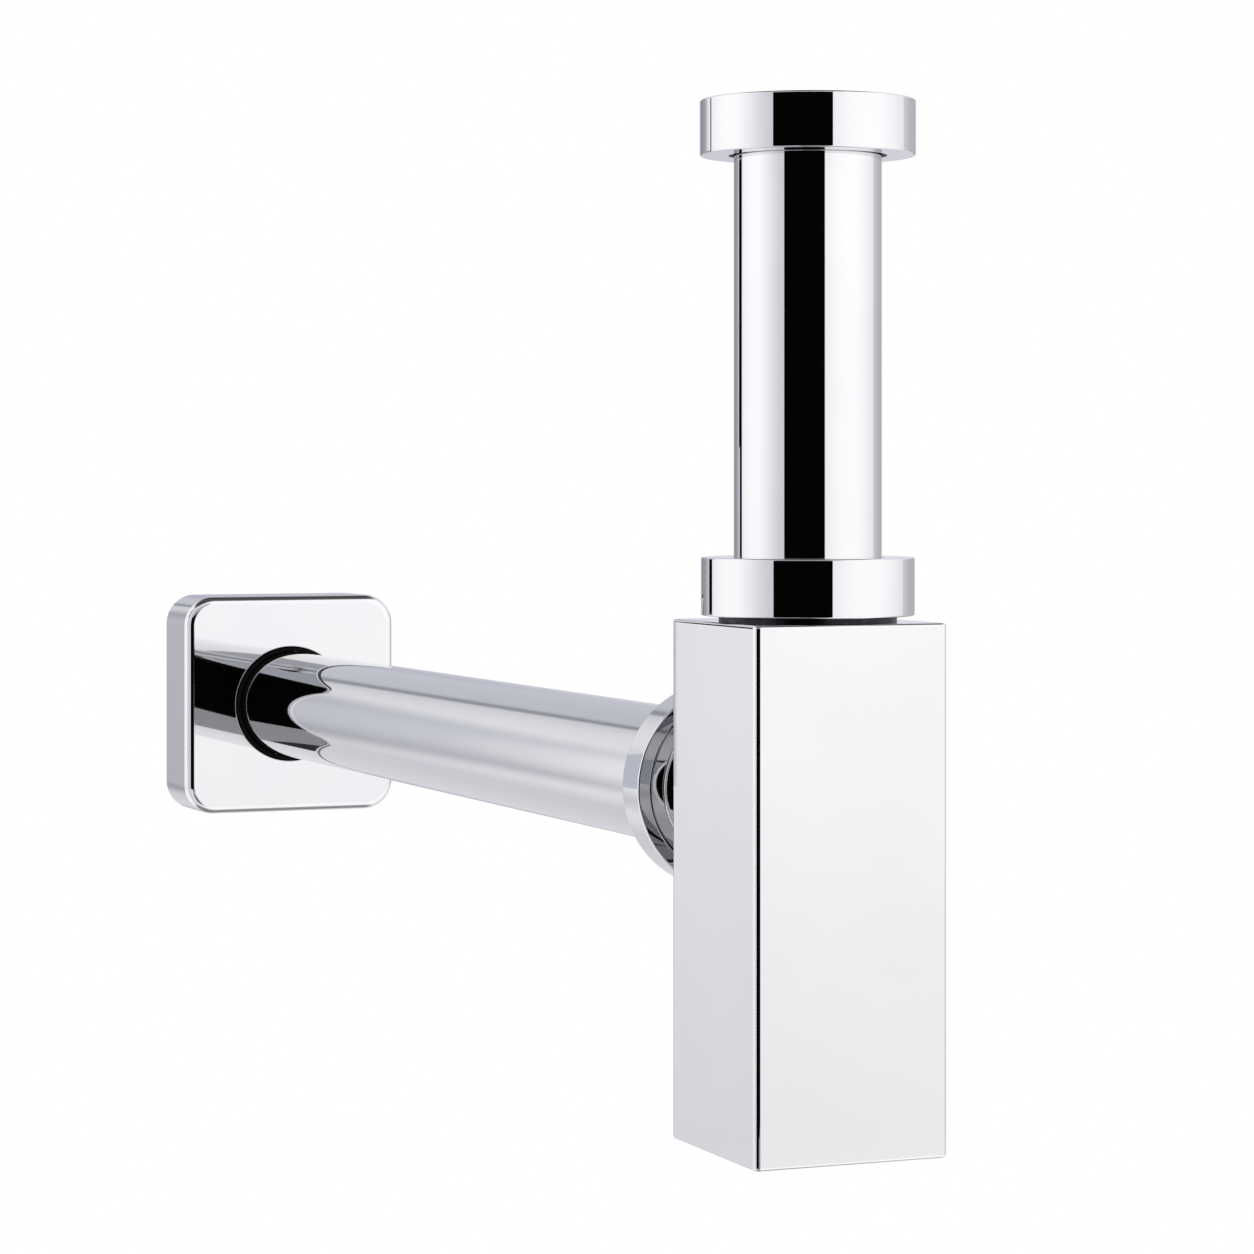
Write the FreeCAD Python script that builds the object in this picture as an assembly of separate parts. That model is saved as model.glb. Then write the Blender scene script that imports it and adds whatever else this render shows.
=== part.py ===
"""Square basin trap in chromed brass.

A bottle trap hangs under a basin. Water comes down the inlet tube into a hollow
square body, passes under the lip of a dip tube, rises round it and leaves by a level
pipe to the wall. The inlet tube telescopes in a compression collar on the body, the
pipe butts on a threaded neck behind it, and a square cover hides the hole in the wall.

The frame has its origin at the middle of the inlet nut's mouth. +Z points up along the
inlet, +Y points along the outlet pipe to the wall, and the front of the body faces -Y.
"""
import FreeCAD, Part
import math
import os

Vector = FreeCAD.Vector

# Tubes
tube_diameter = 32.0
tube_wall = 1.0
flange_bend = 0.6
flange_reach = 3.0

# Clearances
rubber_fit = 0.05
braze_gap = 0.05
sliding_gap = 0.3
seat_gap = 0.1
thread_gap = 0.15
hole_gap = 1.1

# Turned edges
edge_break = 0.4
thread_chamfer = 0.4

# Inlet nut, from its mouth down
inlet_thread_depth = 6.6
washer_thickness = 2.0
slip_ring_thickness = 0.6
inlet_shoulder = 1.8
inlet_nut_wall = 2.98
thread_relief = 0.6

# Telescopic inlet tube
exposed_tube = 86.7
tube_insertion = 45.0

# Collar on the body: spigot, dip tube, seal, thrust ring and nut
spigot_height = 10.0
spigot_wall = 1.37
spigot_root_height = 1.6
spigot_root_depth = 0.8
spigot_shank_wall = 1.0
seal_section = 2.55
seal_height = 5.0
seal_proud = 0.6
seal_draft = 0.4
collar_ring_thickness = 1.0
collar_shoulder = 2.2
collar_hole_gap = 0.5
collar_nut_wall = 2.73
collar_gap = 1.2
dip_tube_wall = 1.0
dip_flange_thickness = 1.5
dip_gap = 5.0

# Square body
body_height = 114.0
body_wall = 2.0
body_top_thickness = 2.5
body_base_thickness = 3.0
body_base_ledge = 0.5
body_edge_radius = 1.4
body_rim_radius = 0.7
cavity_corner_radius = 1.5
water_gap = 3.2

# Outlet neck and nut
outlet_drop = 38.9
neck_length = 17.8
neck_wall = 1.6
neck_shank_wall = 1.0
neck_fillet = 0.6
outlet_thread_length = 3.5
outlet_washer_thickness = 1.6
outlet_shoulder = 2.0
outlet_nut_wall = 3.03
outlet_nut_lead = 0.7
wall_reach = 400.5
pipe_past_wall = 20.0
pipe_end_chamfer = 0.4

# Square wall cover and its rubber ring
cover_width = 66.5
cover_depth = 23.0
cover_sheet = 1.0
cover_corner_radius = 9.0
cover_edge_radius = 2.6
cover_lip_length = 4.0
cover_lip_radius = 0.6
cover_ring_section = 1.25
cover_ring_proud = 0.3
cover_bead_height = 1.2
cover_bead_length = 2.0

# Clean-out plug in the base
plug_thread_radius = 13.36
plug_thread_length = 7.0
plug_head_overhang = 2.34
plug_head_thickness = 2.0
plug_bore_wall = 2.4
plug_slot_width = 2.5
plug_slot_depth = 1.2
o_ring_section = 1.8
boss_wall = 1.5

# Radii of the tubes and of what slides on them
tube_radius = tube_diameter / 2
tube_bore = tube_radius - tube_wall
flange_radius = tube_radius + flange_reach
slip_ring_bore = tube_radius + flange_bend + sliding_gap
nut_hole_radius = tube_radius + hole_gap

# Radii of the collar, stacked outwards from the tube: the thread comes to the pitch
# line of the usual inch-and-a-quarter pipe thread, 40.4 mm across
seal_bore = tube_radius + rubber_fit
seal_radius = seal_bore + seal_section
spigot_counterbore = seal_radius + seat_gap
male_thread_radius = spigot_counterbore + spigot_wall
female_thread_radius = male_thread_radius + 2 * thread_gap
relief_radius = female_thread_radius + thread_relief
dip_tube_bore = tube_radius + sliding_gap
dip_tube_radius = dip_tube_bore + dip_tube_wall
spigot_bore = dip_tube_radius + seat_gap
spigot_shank_radius = spigot_bore + spigot_shank_wall
spigot_root_radius = male_thread_radius - spigot_root_depth

# Heights
tube_flange_top = -inlet_thread_depth - washer_thickness
tube_flange_bottom = tube_flange_top - tube_wall
inlet_shoulder_top = tube_flange_bottom - slip_ring_thickness
inlet_nut_bottom = inlet_shoulder_top - inlet_shoulder
collar_top = inlet_nut_bottom - exposed_tube
collar_shoulder_bottom = collar_top - collar_shoulder
seal_top = collar_shoulder_bottom - collar_ring_thickness
spigot_top = seal_top - seal_proud
body_top = spigot_top - spigot_height
collar_bottom = body_top + collar_gap
seal_bottom = seal_top - seal_height
dip_seat = seal_bottom - dip_flange_thickness
body_bottom = body_top - body_height
cavity_top = body_top - body_top_thickness
cavity_floor = body_bottom + body_base_thickness
outlet_height = body_top - outlet_drop

# Plug stack, from the base up
plug_head_radius = plug_thread_radius + plug_head_overhang
plug_head_top = body_bottom + plug_head_thickness
plug_top = plug_head_top + plug_thread_length
plug_bore_radius = plug_thread_radius + 2 * thread_gap
o_ring_middle = plug_thread_radius + seat_gap + o_ring_section / 2
o_ring_seat_radius = o_ring_middle + o_ring_section / 2 + seat_gap
o_ring_seat_top = plug_head_top + o_ring_section + seat_gap
head_seat_radius = plug_head_radius + sliding_gap
boss_radius = head_seat_radius + boss_wall
dip_tube_bottom = plug_top + dip_gap

# Plan of the body, and stations along the outlet pipe
cavity_half = dip_tube_radius + water_gap
body_half = cavity_half + body_wall
base_seat_half = cavity_half + body_base_ledge
base_seat_corner_radius = cavity_corner_radius + body_base_ledge
neck_radius = tube_bore + neck_wall
neck_shank_radius = tube_bore + neck_shank_wall
outlet_ring_front = body_half + neck_length
outlet_ring_back = outlet_ring_front + outlet_thread_length
pipe_flange_front = outlet_ring_back + outlet_washer_thickness
pipe_flange_back = pipe_flange_front + tube_wall
outlet_shoulder_front = pipe_flange_back + slip_ring_thickness
outlet_nut_front = outlet_ring_front - outlet_nut_lead
outlet_nut_back = outlet_shoulder_front + outlet_shoulder
pipe_end = wall_reach + pipe_past_wall
cover_front = wall_reach - cover_depth
cover_ring_bore = tube_radius + rubber_fit
cover_ring_radius = cover_ring_bore + cover_ring_section
cover_hole_radius = cover_ring_radius + seat_gap
cover_lip_end = cover_front + cover_lip_length

OVERRUN = 1.0


def rounded_wire(corners):
    """Close a wire through (radius, height, rounding) corners, with arcs at the rounded ones."""
    points = [Vector(radius, 0, height) for radius, height, rounding in corners]
    stretches = []
    for i, (radius, height, rounding) in enumerate(corners):
        here = points[i]
        to_before = (points[i - 1] - here).normalize()
        to_after = (points[(i + 1) % len(points)] - here).normalize()
        if rounding == 0:
            stretches.append((here, None, here))
            continue
        half_angle = to_before.getAngle(to_after) / 2
        inwards = (to_before + to_after).normalize()
        run_back = rounding / math.tan(half_angle)
        middle = here + inwards * (rounding / math.sin(half_angle) - rounding)
        stretches.append((here + to_before * run_back, middle, here + to_after * run_back))
    edges = []
    for i, (start, middle, end) in enumerate(stretches):
        if middle is not None:
            edges.append(Part.Arc(start, middle, end).toShape())
        following = stretches[(i + 1) % len(stretches)][0]
        edges.append(Part.LineSegment(end, following).toShape())
    return Part.Wire(edges)


def turned(corners):
    """Turn a closed (radius, height, rounding) section about Z into a solid."""
    solid = Part.Face(rounded_wire(corners)).revolve(Vector(0, 0, 0), Vector(0, 0, 1), 360)
    if solid.Volume < 0:
        solid.reverse()
    return solid


def disc(radius, bottom, top):
    """A plain cylinder on Z between two heights."""
    return Part.makeCylinder(radius, top - bottom, Vector(0, 0, bottom))


def on_outlet(shape):
    """Lay a shape made on Z along the outlet pipe, so that its heights become stations on +Y."""
    shape.rotate(Vector(0, 0, 0), Vector(1, 0, 0), -90)
    shape.translate(Vector(0, 0, outlet_height))
    return shape


def square_block(half, bottom, top, corner_radius):
    """A square prism on Z with rounded upright corners."""
    block = Part.makeBox(2 * half, 2 * half, top - bottom, Vector(-half, -half, bottom))
    upright = [edge for edge in block.Edges if edge.BoundBox.ZLength > (top - bottom) / 2]
    return block.makeFillet(corner_radius, upright)


def flanged_tube(flange_face, flange_inner, far_end, end_chamfer):
    """A tube whose end is rolled out into a flat flange.

    flange_face and flange_inner are the heights of the flange's outer and inner faces,
    and far_end is the height of the plain end.
    """
    away = math.copysign(1.0, far_end - flange_face)
    mouth_radius = flange_bend + tube_wall
    return turned([
        (tube_bore, flange_face, mouth_radius),
        (flange_radius, flange_face, 0),
        (flange_radius, flange_inner, 0),
        (tube_radius, flange_inner, flange_bend),
        (tube_radius, far_end - away * end_chamfer, 0),
        (tube_radius - end_chamfer, far_end, 0),
        (tube_bore, far_end, 0),
    ])


def slip_nut(mouth, relief_start, shoulder, back, wall, hole_radius):
    """A smooth round nut: a thread, a relief behind it, and a shoulder with a hole.

    mouth, relief_start, shoulder and back are heights in the order in which a part
    that is screwed in meets them.
    """
    inwards = math.copysign(1.0, back - mouth)
    outer = female_thread_radius + wall
    return turned([
        (outer, mouth, edge_break),
        (outer, back, edge_break),
        (hole_radius, back, edge_break / 2),
        (hole_radius, shoulder, 0),
        (relief_radius, shoulder, 0),
        (relief_radius, relief_start, 0),
        (female_thread_radius, relief_start, 0),
        (female_thread_radius, mouth + inwards * thread_chamfer, 0),
        (female_thread_radius + thread_chamfer, mouth, 0),
    ])


def flat_ring(bore, radius, bottom, top):
    """A flat washer on Z."""
    return turned([(bore, bottom, 0), (radius, bottom, 0), (radius, top, 0), (bore, top, 0)])


def make_inlet_nut():
    """Nut that takes the basin waste's threaded tail."""
    return slip_nut(0, -inlet_thread_depth + seat_gap, inlet_shoulder_top, inlet_nut_bottom,
                    inlet_nut_wall, nut_hole_radius)


def make_inlet_slip_ring():
    """Nylon ring between the nut's shoulder and the tube's flange."""
    return flat_ring(slip_ring_bore, flange_radius, inlet_shoulder_top, tube_flange_bottom)


def make_inlet_washer():
    """Rubber washer that lies on the tube's flange and seals against the waste."""
    return flat_ring(slip_ring_bore, flange_radius, tube_flange_top, -inlet_thread_depth)


def make_inlet_tube():
    """Telescopic inlet tube, held by its flange at the top and free in the dip tube below."""
    return flanged_tube(tube_flange_top, tube_flange_bottom, body_top - tube_insertion, edge_break)


def make_collar_nut():
    """Nut that squeezes the seal onto the telescopic tube."""
    return slip_nut(collar_bottom, spigot_top - thread_chamfer, collar_shoulder_bottom, collar_top,
                    collar_nut_wall, tube_radius + collar_hole_gap)


def make_collar_slip_ring():
    """Nylon thrust ring, which keeps the turning nut off the rubber."""
    return flat_ring(tube_radius + sliding_gap, male_thread_radius, seal_top, collar_shoulder_bottom)


def make_collar_seal():
    """Rubber compression seal with a slight draft and a rounded top edge."""
    return turned([
        (seal_bore, seal_bottom, 0),
        (seal_radius - seal_draft, seal_bottom, 0),
        (seal_radius, seal_top, edge_break),
        (seal_bore, seal_top, 0),
    ])


def make_dip_tube():
    """Moulded dip tube that hangs by its flange in the spigot and reaches down to the sump."""
    flange = seal_radius
    return turned([
        (dip_tube_bore, seal_bottom, 0),
        (flange, seal_bottom, 0),
        (flange, dip_seat, 0),
        (dip_tube_radius, dip_seat, 0),
        (dip_tube_radius, dip_tube_bottom, 0),
        (dip_tube_bore, dip_tube_bottom, 0),
    ])


def make_collar_spigot():
    """Threaded spigot brazed in the body's top, with a shoulder, a root relief and the dip tube's step."""
    return turned([
        (spigot_bore, cavity_top, 0),
        (spigot_shank_radius, cavity_top, 0),
        (spigot_shank_radius, body_top, 0),
        (spigot_root_radius, body_top, 0),
        (spigot_root_radius, body_top + spigot_root_height, 0),
        (male_thread_radius, body_top + spigot_root_height, 0),
        (male_thread_radius, spigot_top - thread_chamfer, 0),
        (male_thread_radius - thread_chamfer, spigot_top, 0),
        (spigot_counterbore, spigot_top, 0),
        (spigot_counterbore, dip_seat, 0),
        (spigot_bore, dip_seat, 0),
    ])


def make_outlet_neck():
    """Slim neck brazed in the body's back, with a shoulder and a threaded ring at its end."""
    return on_outlet(turned([
        (tube_bore, cavity_half, 0),
        (neck_shank_radius, cavity_half, 0),
        (neck_shank_radius, body_half, 0),
        (neck_radius, body_half, 0),
        (neck_radius, outlet_ring_front, neck_fillet),
        (male_thread_radius - thread_chamfer, outlet_ring_front, 0),
        (male_thread_radius, outlet_ring_front + thread_chamfer, 0),
        (male_thread_radius, outlet_ring_back - thread_chamfer, 0),
        (male_thread_radius - thread_chamfer, outlet_ring_back, 0),
        (tube_bore, outlet_ring_back, 0),
    ]))


def plug_passage():
    """What is bored out of the base for the plug's head, its ring and its thread."""
    return turned([
        (0, body_bottom - OVERRUN, 0),
        (head_seat_radius, body_bottom - OVERRUN, 0),
        (head_seat_radius, plug_head_top, 0),
        (o_ring_seat_radius, plug_head_top, 0),
        (o_ring_seat_radius, o_ring_seat_top, 0),
        (plug_bore_radius, o_ring_seat_top, 0),
        (plug_bore_radius, plug_top + OVERRUN, 0),
        (0, plug_top + OVERRUN, 0),
    ])


def make_trap_body():
    """Hollow square body, open below on a ledge for its base, with holes for its two necks."""
    block = square_block(body_half, body_bottom, body_top, body_edge_radius)
    level = [edge for edge in block.Edges if edge.BoundBox.ZLength < body_rim_radius / 2]
    block = block.makeFillet(body_rim_radius, level)
    cavity = square_block(cavity_half, cavity_floor - OVERRUN, cavity_top, cavity_corner_radius)
    base_seat = square_block(base_seat_half, body_bottom - OVERRUN, cavity_floor,
                             base_seat_corner_radius)
    spigot_hole = disc(spigot_shank_radius + braze_gap, cavity_top - OVERRUN, body_top + OVERRUN)
    neck_hole = on_outlet(disc(neck_shank_radius + braze_gap, cavity_half - OVERRUN,
                               body_half + OVERRUN))
    return block.cut([cavity, base_seat, spigot_hole, neck_hole]).removeSplitter()


def make_body_base():
    """Square base brazed on the body's ledge, with the threaded boss for the plug."""
    plate = square_block(base_seat_half - braze_gap, body_bottom, cavity_floor,
                         base_seat_corner_radius - braze_gap)
    boss = disc(boss_radius, cavity_floor - body_base_thickness / 2, plug_top)
    return plate.fuse(boss).cut(plug_passage()).removeSplitter()


def make_outlet_washer():
    """Rubber washer between the neck and the pipe's flange."""
    return on_outlet(flat_ring(tube_bore, flange_radius, outlet_ring_back, pipe_flange_front))


def make_outlet_pipe():
    """Level pipe to the wall, with a rolled flange that the outlet nut pulls on."""
    return on_outlet(flanged_tube(pipe_flange_front, pipe_flange_back, pipe_end, pipe_end_chamfer))


def make_outlet_slip_ring():
    """Nylon ring between the outlet nut's shoulder and the pipe's flange."""
    return on_outlet(flat_ring(slip_ring_bore, flange_radius, pipe_flange_back, outlet_shoulder_front))


def make_outlet_nut():
    """Slim nut that pulls the pipe's flange onto the threaded neck."""
    return on_outlet(slip_nut(outlet_nut_front, outlet_ring_back, outlet_shoulder_front,
                              outlet_nut_back, outlet_nut_wall, nut_hole_radius))


def make_cover_ring():
    """Rubber ring that grips the pipe and fills the cover's hole, with a bead behind the lip."""
    bead_start = cover_lip_end + seat_gap
    bead_end = bead_start + cover_bead_length
    return on_outlet(turned([
        (cover_ring_bore, cover_front - cover_ring_proud, 0),
        (cover_ring_radius, cover_front - cover_ring_proud, edge_break),
        (cover_ring_radius, bead_start, 0),
        (cover_ring_radius + cover_bead_height, bead_start, 0),
        (cover_ring_radius + cover_bead_height, bead_end, edge_break),
        (cover_ring_bore, bead_end, 0),
    ]))


def pressed_block(half, front, back, corner_radius, edge_radius):
    """A square prism with rounded corners and a rounded front edge all round."""
    block = square_block(half, front, back, corner_radius)
    rim = [edge for edge in block.Edges
           if edge.BoundBox.ZLength < edge_radius / 2 and edge.BoundBox.ZMin < (front + back) / 2]
    return block.makeFillet(edge_radius, rim)


def make_wall_cover():
    """Square cover pressed from sheet: a rounded front, open back and a lipped hole."""
    half = cover_width / 2
    outer = pressed_block(half, cover_front, wall_reach, cover_corner_radius, cover_edge_radius)
    hollow = pressed_block(half - cover_sheet, cover_front + cover_sheet, wall_reach + OVERRUN,
                           cover_corner_radius - cover_sheet, cover_edge_radius - cover_sheet)
    lip_outer = cover_hole_radius + cover_sheet
    lip = turned([
        (cover_hole_radius, cover_front, cover_lip_radius),
        (lip_outer, cover_front, 0),
        (lip_outer, cover_lip_end, 0),
        (cover_hole_radius, cover_lip_end, 0),
    ])
    hole = disc(lip_outer, cover_front - OVERRUN, cover_lip_end)
    return on_outlet(outer.cut(hollow).cut(hole).fuse(lip).removeSplitter())


def make_cleanout_o_ring():
    """Rubber ring under the plug's head."""
    middle = Vector(0, 0, plug_head_top + o_ring_section / 2 + seat_gap / 2)
    return Part.makeTorus(o_ring_middle, o_ring_section / 2, middle, Vector(0, 0, 1))


def make_cleanout_plug():
    """Round plug, flush with the base, with a coin slot and a hollow threaded shank."""
    shank = turned([
        (0, body_bottom, 0),
        (plug_head_radius, body_bottom, edge_break),
        (plug_head_radius, plug_head_top, 0),
        (plug_thread_radius, plug_head_top, 0),
        (plug_thread_radius, plug_top - thread_chamfer, 0),
        (plug_thread_radius - thread_chamfer, plug_top, 0),
        (plug_thread_radius - plug_bore_wall, plug_top, 0),
        (plug_thread_radius - plug_bore_wall, plug_head_top, 0),
        (0, plug_head_top, 0),
    ])
    slot = Part.makeBox(2 * plug_head_radius, plug_slot_width, plug_slot_depth + OVERRUN,
                        Vector(-plug_head_radius, -plug_slot_width / 2, body_bottom - OVERRUN))
    return shank.cut(slot)


PIECES = {
    "inlet_nut": make_inlet_nut,
    "inlet_slip_ring": make_inlet_slip_ring,
    "inlet_washer": make_inlet_washer,
    "inlet_tube": make_inlet_tube,
    "collar_nut": make_collar_nut,
    "collar_slip_ring": make_collar_slip_ring,
    "collar_seal": make_collar_seal,
    "dip_tube": make_dip_tube,
    "collar_spigot": make_collar_spigot,
    "trap_body": make_trap_body,
    "body_base": make_body_base,
    "outlet_neck": make_outlet_neck,
    "outlet_washer": make_outlet_washer,
    "outlet_pipe": make_outlet_pipe,
    "outlet_slip_ring": make_outlet_slip_ring,
    "outlet_nut": make_outlet_nut,
    "cover_ring": make_cover_ring,
    "wall_cover": make_wall_cover,
    "cleanout_o_ring": make_cleanout_o_ring,
    "cleanout_plug": make_cleanout_plug,
}


def main():
    """Make every piece and write it to its own file."""
    os.makedirs("parts", exist_ok=True)
    for name, make in PIECES.items():
        shape = make()
        shape.exportStep("parts/%s.step" % name)
        box = shape.BoundBox
        print("%-17s solids %d valid %s volume %9.1f  x %.2f %.2f  y %.2f %.2f  z %.2f %.2f" % (
            name, len(shape.Solids), shape.isValid(), shape.Volume,
            box.XMin, box.XMax, box.YMin, box.YMax, box.ZMin, box.ZMax))


main()
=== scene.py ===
"""Square basin trap in polished chrome, dressed over its construction model.

Lengths are in metres in the trap's own frame: the origin is the middle of the inlet nut's
mouth, +Z points up the inlet and +Y along the outlet pipe to the wall. Every chromed
piece is one closed surface worked out from its section, with exact normals, because a
mirror finish shows every facet.
"""
from __future__ import annotations

import logging
import math
from dataclasses import dataclass, field, replace
from enum import Enum

import bpy
import numpy as np
from bpy.types import ID, Material, Node, NodeSocket, NodeTree, Object, World
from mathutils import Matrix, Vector

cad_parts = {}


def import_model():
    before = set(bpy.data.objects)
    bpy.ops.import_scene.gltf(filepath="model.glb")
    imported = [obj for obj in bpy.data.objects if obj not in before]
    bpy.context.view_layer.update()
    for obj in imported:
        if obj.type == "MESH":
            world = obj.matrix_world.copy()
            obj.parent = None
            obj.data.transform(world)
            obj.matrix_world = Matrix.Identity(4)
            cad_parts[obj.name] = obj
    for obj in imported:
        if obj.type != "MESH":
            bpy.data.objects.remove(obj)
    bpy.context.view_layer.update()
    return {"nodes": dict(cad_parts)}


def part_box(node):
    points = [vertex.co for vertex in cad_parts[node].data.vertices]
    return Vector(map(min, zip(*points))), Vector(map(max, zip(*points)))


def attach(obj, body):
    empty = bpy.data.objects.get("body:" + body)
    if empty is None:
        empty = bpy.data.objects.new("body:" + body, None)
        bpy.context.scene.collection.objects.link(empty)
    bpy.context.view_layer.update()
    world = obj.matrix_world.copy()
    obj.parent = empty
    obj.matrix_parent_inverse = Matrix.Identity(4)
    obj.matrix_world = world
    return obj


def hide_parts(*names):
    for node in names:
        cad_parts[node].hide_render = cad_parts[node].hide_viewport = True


MM = 0.001
TURN = 2 * math.pi
WELD = 1e-6

# Row vectors times these matrices: a quarter turn to the left, and +Z laid along +Y.
QUARTER_TURN = np.array([[0.0, 1.0], [-1.0, 0.0]])
LAY_DOWN = np.array([[1.0, 0.0, 0.0], [0.0, 0.0, -1.0], [0.0, 1.0, 0.0]])

log = logging.getLogger("square_basin_trap")


class Lie(Enum):
    """Which way the axis of a piece lies."""

    UPRIGHT = "stations are heights on +Z"
    LEVEL = "stations run along the outlet, on +Y"


class Slot(Enum):
    """The part's material slots."""

    CHROME = "polished_chrome"
    RUBBER = "black_rubber"
    NYLON = "white_nylon"
    PLASTIC = "grey_plastic"


@dataclass(frozen=True)
class Plan:
    """A closed outline seen along the axis, which can be moved out or in evenly.

    A point at distance d is its base point plus (d - reach) times its normal, so a circle
    has its base points on the axis and no reach.
    """

    base: np.ndarray
    normals: np.ndarray
    reach: float

    def at(self, distance: float) -> np.ndarray:
        """Points of the outline at a distance from the axis, as an array of (x, y)."""
        return self.base + (distance - self.reach) * self.normals

    def circle(self) -> Plan:
        """A circle whose points lie in the directions of this outline's points."""
        return round_plan(np.arctan2(self.base[:, 1], self.base[:, 0]))


def round_plan(angles: np.ndarray) -> Plan:
    """A circle, sampled at the given angles: (cos a, sin a)."""
    normals = np.stack([np.cos(angles), np.sin(angles)], axis=1)
    return Plan(np.zeros_like(normals), normals, 0.0)


@dataclass(frozen=True)
class SquareGrid:
    """How many faces go along a square outline's sides and round its corners."""

    side: int = 32
    corner: int = 12

    def plan(self, half: float, corner_radius: float) -> Plan:
        """A square with rounded corners, from one side and corner turned four times.

        Along the side a point lies at (half, run * tan(45 deg * t)) for t from -1 to 1, which
        spaces the points evenly in angle. Round the corner it lies on an arc.

        Args:
            half: Half the square's width.
            corner_radius: Radius of its corners.

        Returns:
            The outline, whose base points lie at a distance of half.
        """
        t = np.linspace(-1.0, 1.0, self.side + 1)
        run = (half - corner_radius) * np.tan(math.pi / 4 * t)
        arc = np.linspace(0.0, math.pi / 2, self.corner + 1)[1:-1]
        round_normals = np.stack([np.cos(arc), np.sin(arc)], axis=1)
        points = [np.concatenate([
            np.stack([np.full_like(run, half), run], axis=1),
            (half - corner_radius) + corner_radius * round_normals,
        ])]
        normals = [np.concatenate([np.tile([1.0, 0.0], (len(t), 1)), round_normals])]
        for _ in range(3):
            points.append(points[-1] @ QUARTER_TURN)
            normals.append(normals[-1] @ QUARTER_TURN)
        return Plan(np.concatenate(points), np.concatenate(normals), half)

    def side_steps(self, plan: Plan) -> np.ndarray:
        """Places of the points along a side of the outline, from -run to run."""
        return plan.base[:self.side + 1, 1]

    def back_columns(self) -> np.ndarray:
        """The columns of the outline that make the flat side facing +Y."""
        first = self.side + self.corner
        return np.arange(first, first + self.side + 1)


@dataclass(frozen=True)
class Thread:
    """A helical ridge on one side of a section.

    The radius is the side's own, plus half the depth times a triangle wave with rounded tips
    of (station / pitch - angle / turn), which fades out at both ends of the side.
    """

    pitch: float
    depth: float
    rows_per_pitch: int = 16
    least_rows: int = 8
    run_out: float = 0.45
    tip: float = 0.95

    def rows(self, length: float) -> int:
        """How many rows of faces a thread of this length has."""
        return max(self.least_rows, round(length / self.pitch * self.rows_per_pitch))

    def radii(self, radius: float, stations: np.ndarray, angles: np.ndarray) -> np.ndarray:
        """Radius of the threaded side.

        Args:
            radius: Radius of the side without its thread.
            stations: Stations of the rows.
            angles: Angles of the columns.

        Returns:
            The radius at each row and column.
        """
        share = stations[:, None] / self.pitch - angles[None, :] / TURN
        wave = np.arcsin(self.tip * np.sin(TURN * share)) / math.asin(self.tip)
        to_end = np.minimum(abs(stations - stations[0]), abs(stations - stations[-1]))
        fade = np.clip(to_end / (self.run_out * self.pitch), 0.0, 1.0)
        return radius + 0.5 * self.depth * wave * fade[:, None]


@dataclass(frozen=True)
class Corner:
    """A corner of a section: distance from the axis, station along it, and rounding.

    A thread belongs to the side that follows the corner. A plan of its own takes the
    corner off the piece's main outline.
    """

    distance: float
    station: float
    rounding: float = 0.0
    plan: Plan | None = None
    thread: Thread | None = None


@dataclass
class Ring:
    """One closed curve of a surface, with the normals of the bands before and after it."""

    points: np.ndarray
    before: np.ndarray
    after: np.ndarray


@dataclass
class Quads:
    """Four-cornered faces as arrays of corner points and corner normals, each (faces, 4, 3)."""

    points: np.ndarray
    normals: np.ndarray

    def joined(self, *others: Quads) -> Quads:
        """These faces and others in one set."""
        sets = [self, *others]
        return Quads(np.concatenate([s.points for s in sets]),
                     np.concatenate([s.normals for s in sets]))

    def flat(self) -> Quads:
        """The same faces as one flat set, whatever grid they come in."""
        return Quads(self.points.reshape(-1, 4, 3), self.normals.reshape(-1, 4, 3))


def outward(tangent: np.ndarray) -> np.ndarray:
    """Normal of a section's side: its direction (distance, station) turned right by 90 degrees."""
    return np.stack([tangent[..., 1], -tangent[..., 0]], axis=-1)


def unit(vectors: np.ndarray) -> np.ndarray:
    """Vectors divided by their lengths."""
    return vectors / np.linalg.norm(vectors, axis=-1, keepdims=True)


def woven(low: np.ndarray, high: np.ndarray) -> np.ndarray:
    """Faces between two closed curves: each has low, the next low, the next high and high."""
    return np.stack([low, np.roll(low, -1, axis=-2), np.roll(high, -1, axis=-2), high], axis=-2)


def walked_back(section: list[Corner]) -> list[Corner]:
    """A section in the opposite order, with each thread kept on its own side."""
    return [replace(section[i], thread=section[i - 1].thread) for i in range(len(section))[::-1]]


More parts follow.
